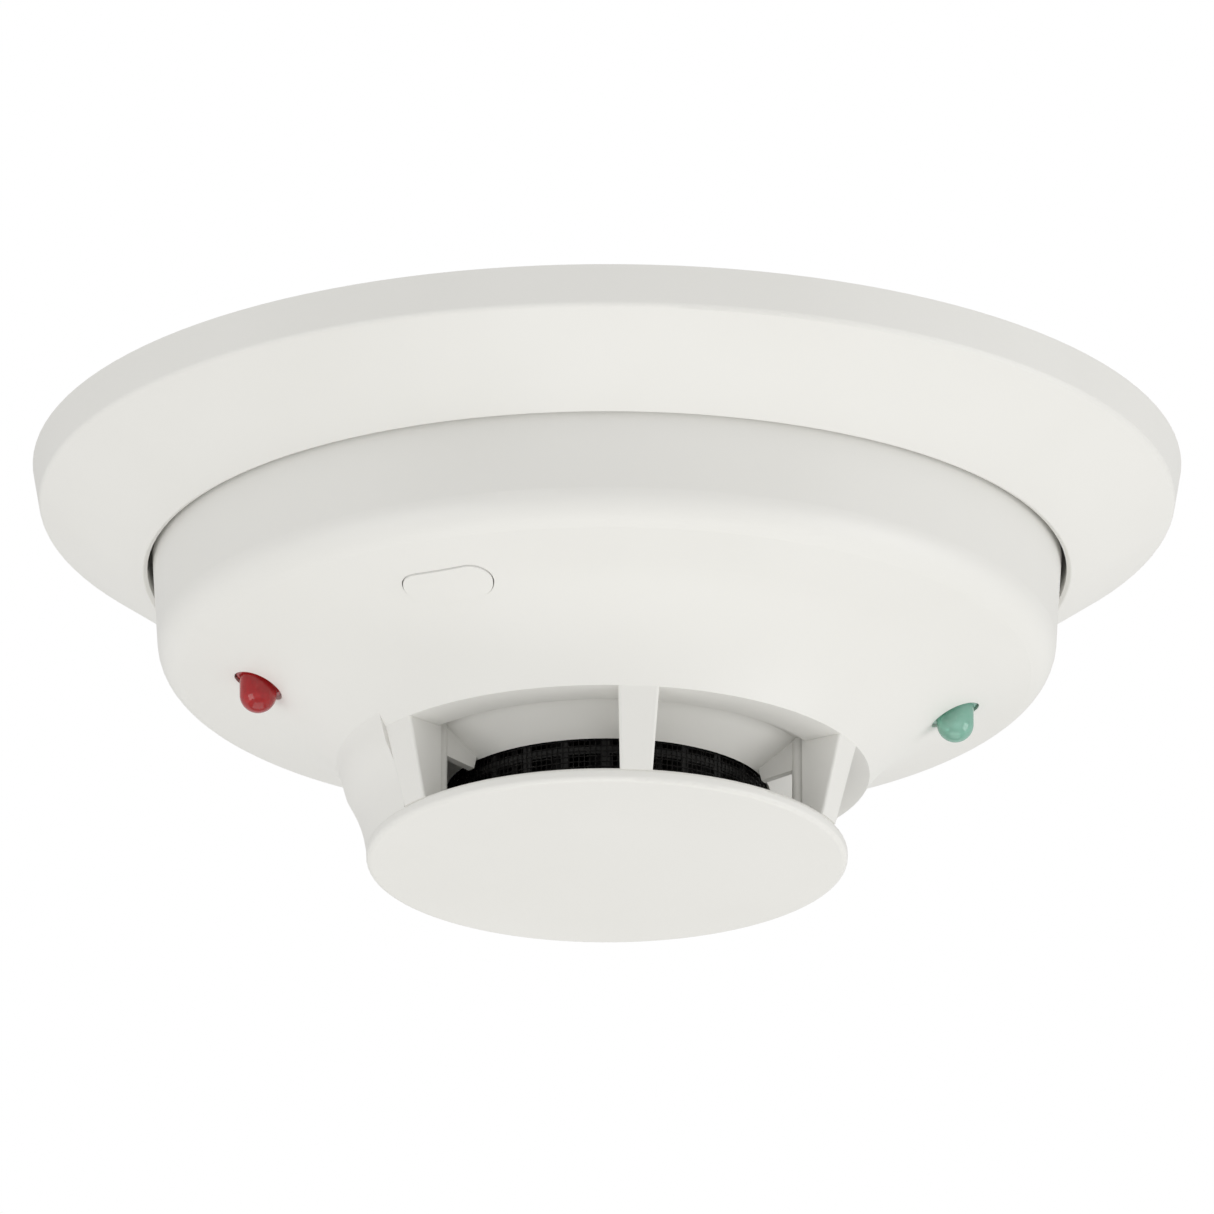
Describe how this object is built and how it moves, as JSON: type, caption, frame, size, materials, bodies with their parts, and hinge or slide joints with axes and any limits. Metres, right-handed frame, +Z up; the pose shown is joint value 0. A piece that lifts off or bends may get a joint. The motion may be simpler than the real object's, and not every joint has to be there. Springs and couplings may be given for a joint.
{
  "type": "smoke detector",
  "caption": "Round ceiling smoke detector: twist-off domed head with open smoke bays, red and green LEDs and a test key, on a wide flanged mounting base.",
  "frame": {"origin": "centre of the base's ceiling face, on the detector's axis", "axes": "+Z up into the ceiling; the front of the test key and bays is -Y; red LED at -X, green LED at +X"},
  "size_m": [0.155, 0.155, 0.0568],
  "materials": {
    "white_abs": "fine matte moulded ABS, warm white",
    "tinned_brass": "bright tin over brass",
    "zinc_steel": "bright zinc plate",
    "green_laminate": "glossy solder mask",
    "red_epoxy": "tinted clear epoxy",
    "green_epoxy": "tinted clear epoxy",
    "clear_epoxy": "clear epoxy",
    "dark_epoxy": "daylight-blocking epoxy",
    "black_plastic": "matte black moulding",
    "relay_case": "glossy moulded case",
    "can_sleeve": "bare aluminium cans"
  },
  "bodies": {
    "base": {"mounting_base": "white_abs", "terminal_contact_1": "tinned_brass", "terminal_contact_2": "tinned_brass", "terminal_contact_3": "tinned_brass", "terminal_contact_4": "tinned_brass", "clamp_washers": "zinc_steel", "terminal_screws": "zinc_steel"},
    "head": {"back_housing": "white_abs", "contact_blades": "tinned_brass", "circuit_board": "green_laminate", "board_screws": "zinc_steel", "red_led": "red_epoxy", "green_led": "green_epoxy", "led_leads": "tinned_brass", "led_spacers": "black_plastic", "relay": "relay_case", "capacitors": "can_sleeve", "microcontroller": "black_plastic", "chip_leads": "tinned_brass", "chip_resistors": "black_plastic", "test_switch": "black_plastic", "chamber_base": "black_plastic", "ir_emitter": "clear_epoxy", "photodiode": "dark_epoxy"},
    "chamber": {"chamber_cap": "black_plastic", "light_vanes": "black_plastic", "vane_ring": "black_plastic", "insect_screen": "black_plastic"},
    "cover": {"cover": "white_abs", "key_bridge": "white_abs", "key_spring": "zinc_steel"},
    "key": {"test_key": "white_abs"},
    "plunger": {"switch_plunger": "black_plastic"}
  },
  "joints": [
    {"name": "head_twist", "type": "hinge", "parent": "base", "child": "head", "pos_m": [0, 0, -0.01], "axis": [0, 0, 1], "range_deg": [-18, 0]},
    {"name": "chamber_pull", "type": "slide", "parent": "head", "child": "chamber", "axis": [0, 0, -1], "range_m": [0, 0.03]},
    {"name": "cover_pull", "type": "slide", "parent": "chamber", "child": "cover", "axis": [0, 0, -1], "range_m": [0, 0.045]},
    {"name": "key_press", "type": "slide", "parent": "cover", "child": "key", "axis": [0, 0, 1], "range_m": [0, 0.001], "stiffness_N_per_m": 600, "springref_m": -0.0005, "deforming": ["key_spring"]},
    {"name": "plunger_press", "type": "slide", "parent": "head", "child": "plunger", "axis": [0, 0, 1], "range_m": [0, 0.001]}
  ],
  "couplings": [
    {"joint": "plunger_press", "follows": "key_press", "ratio": 1}
  ]
}
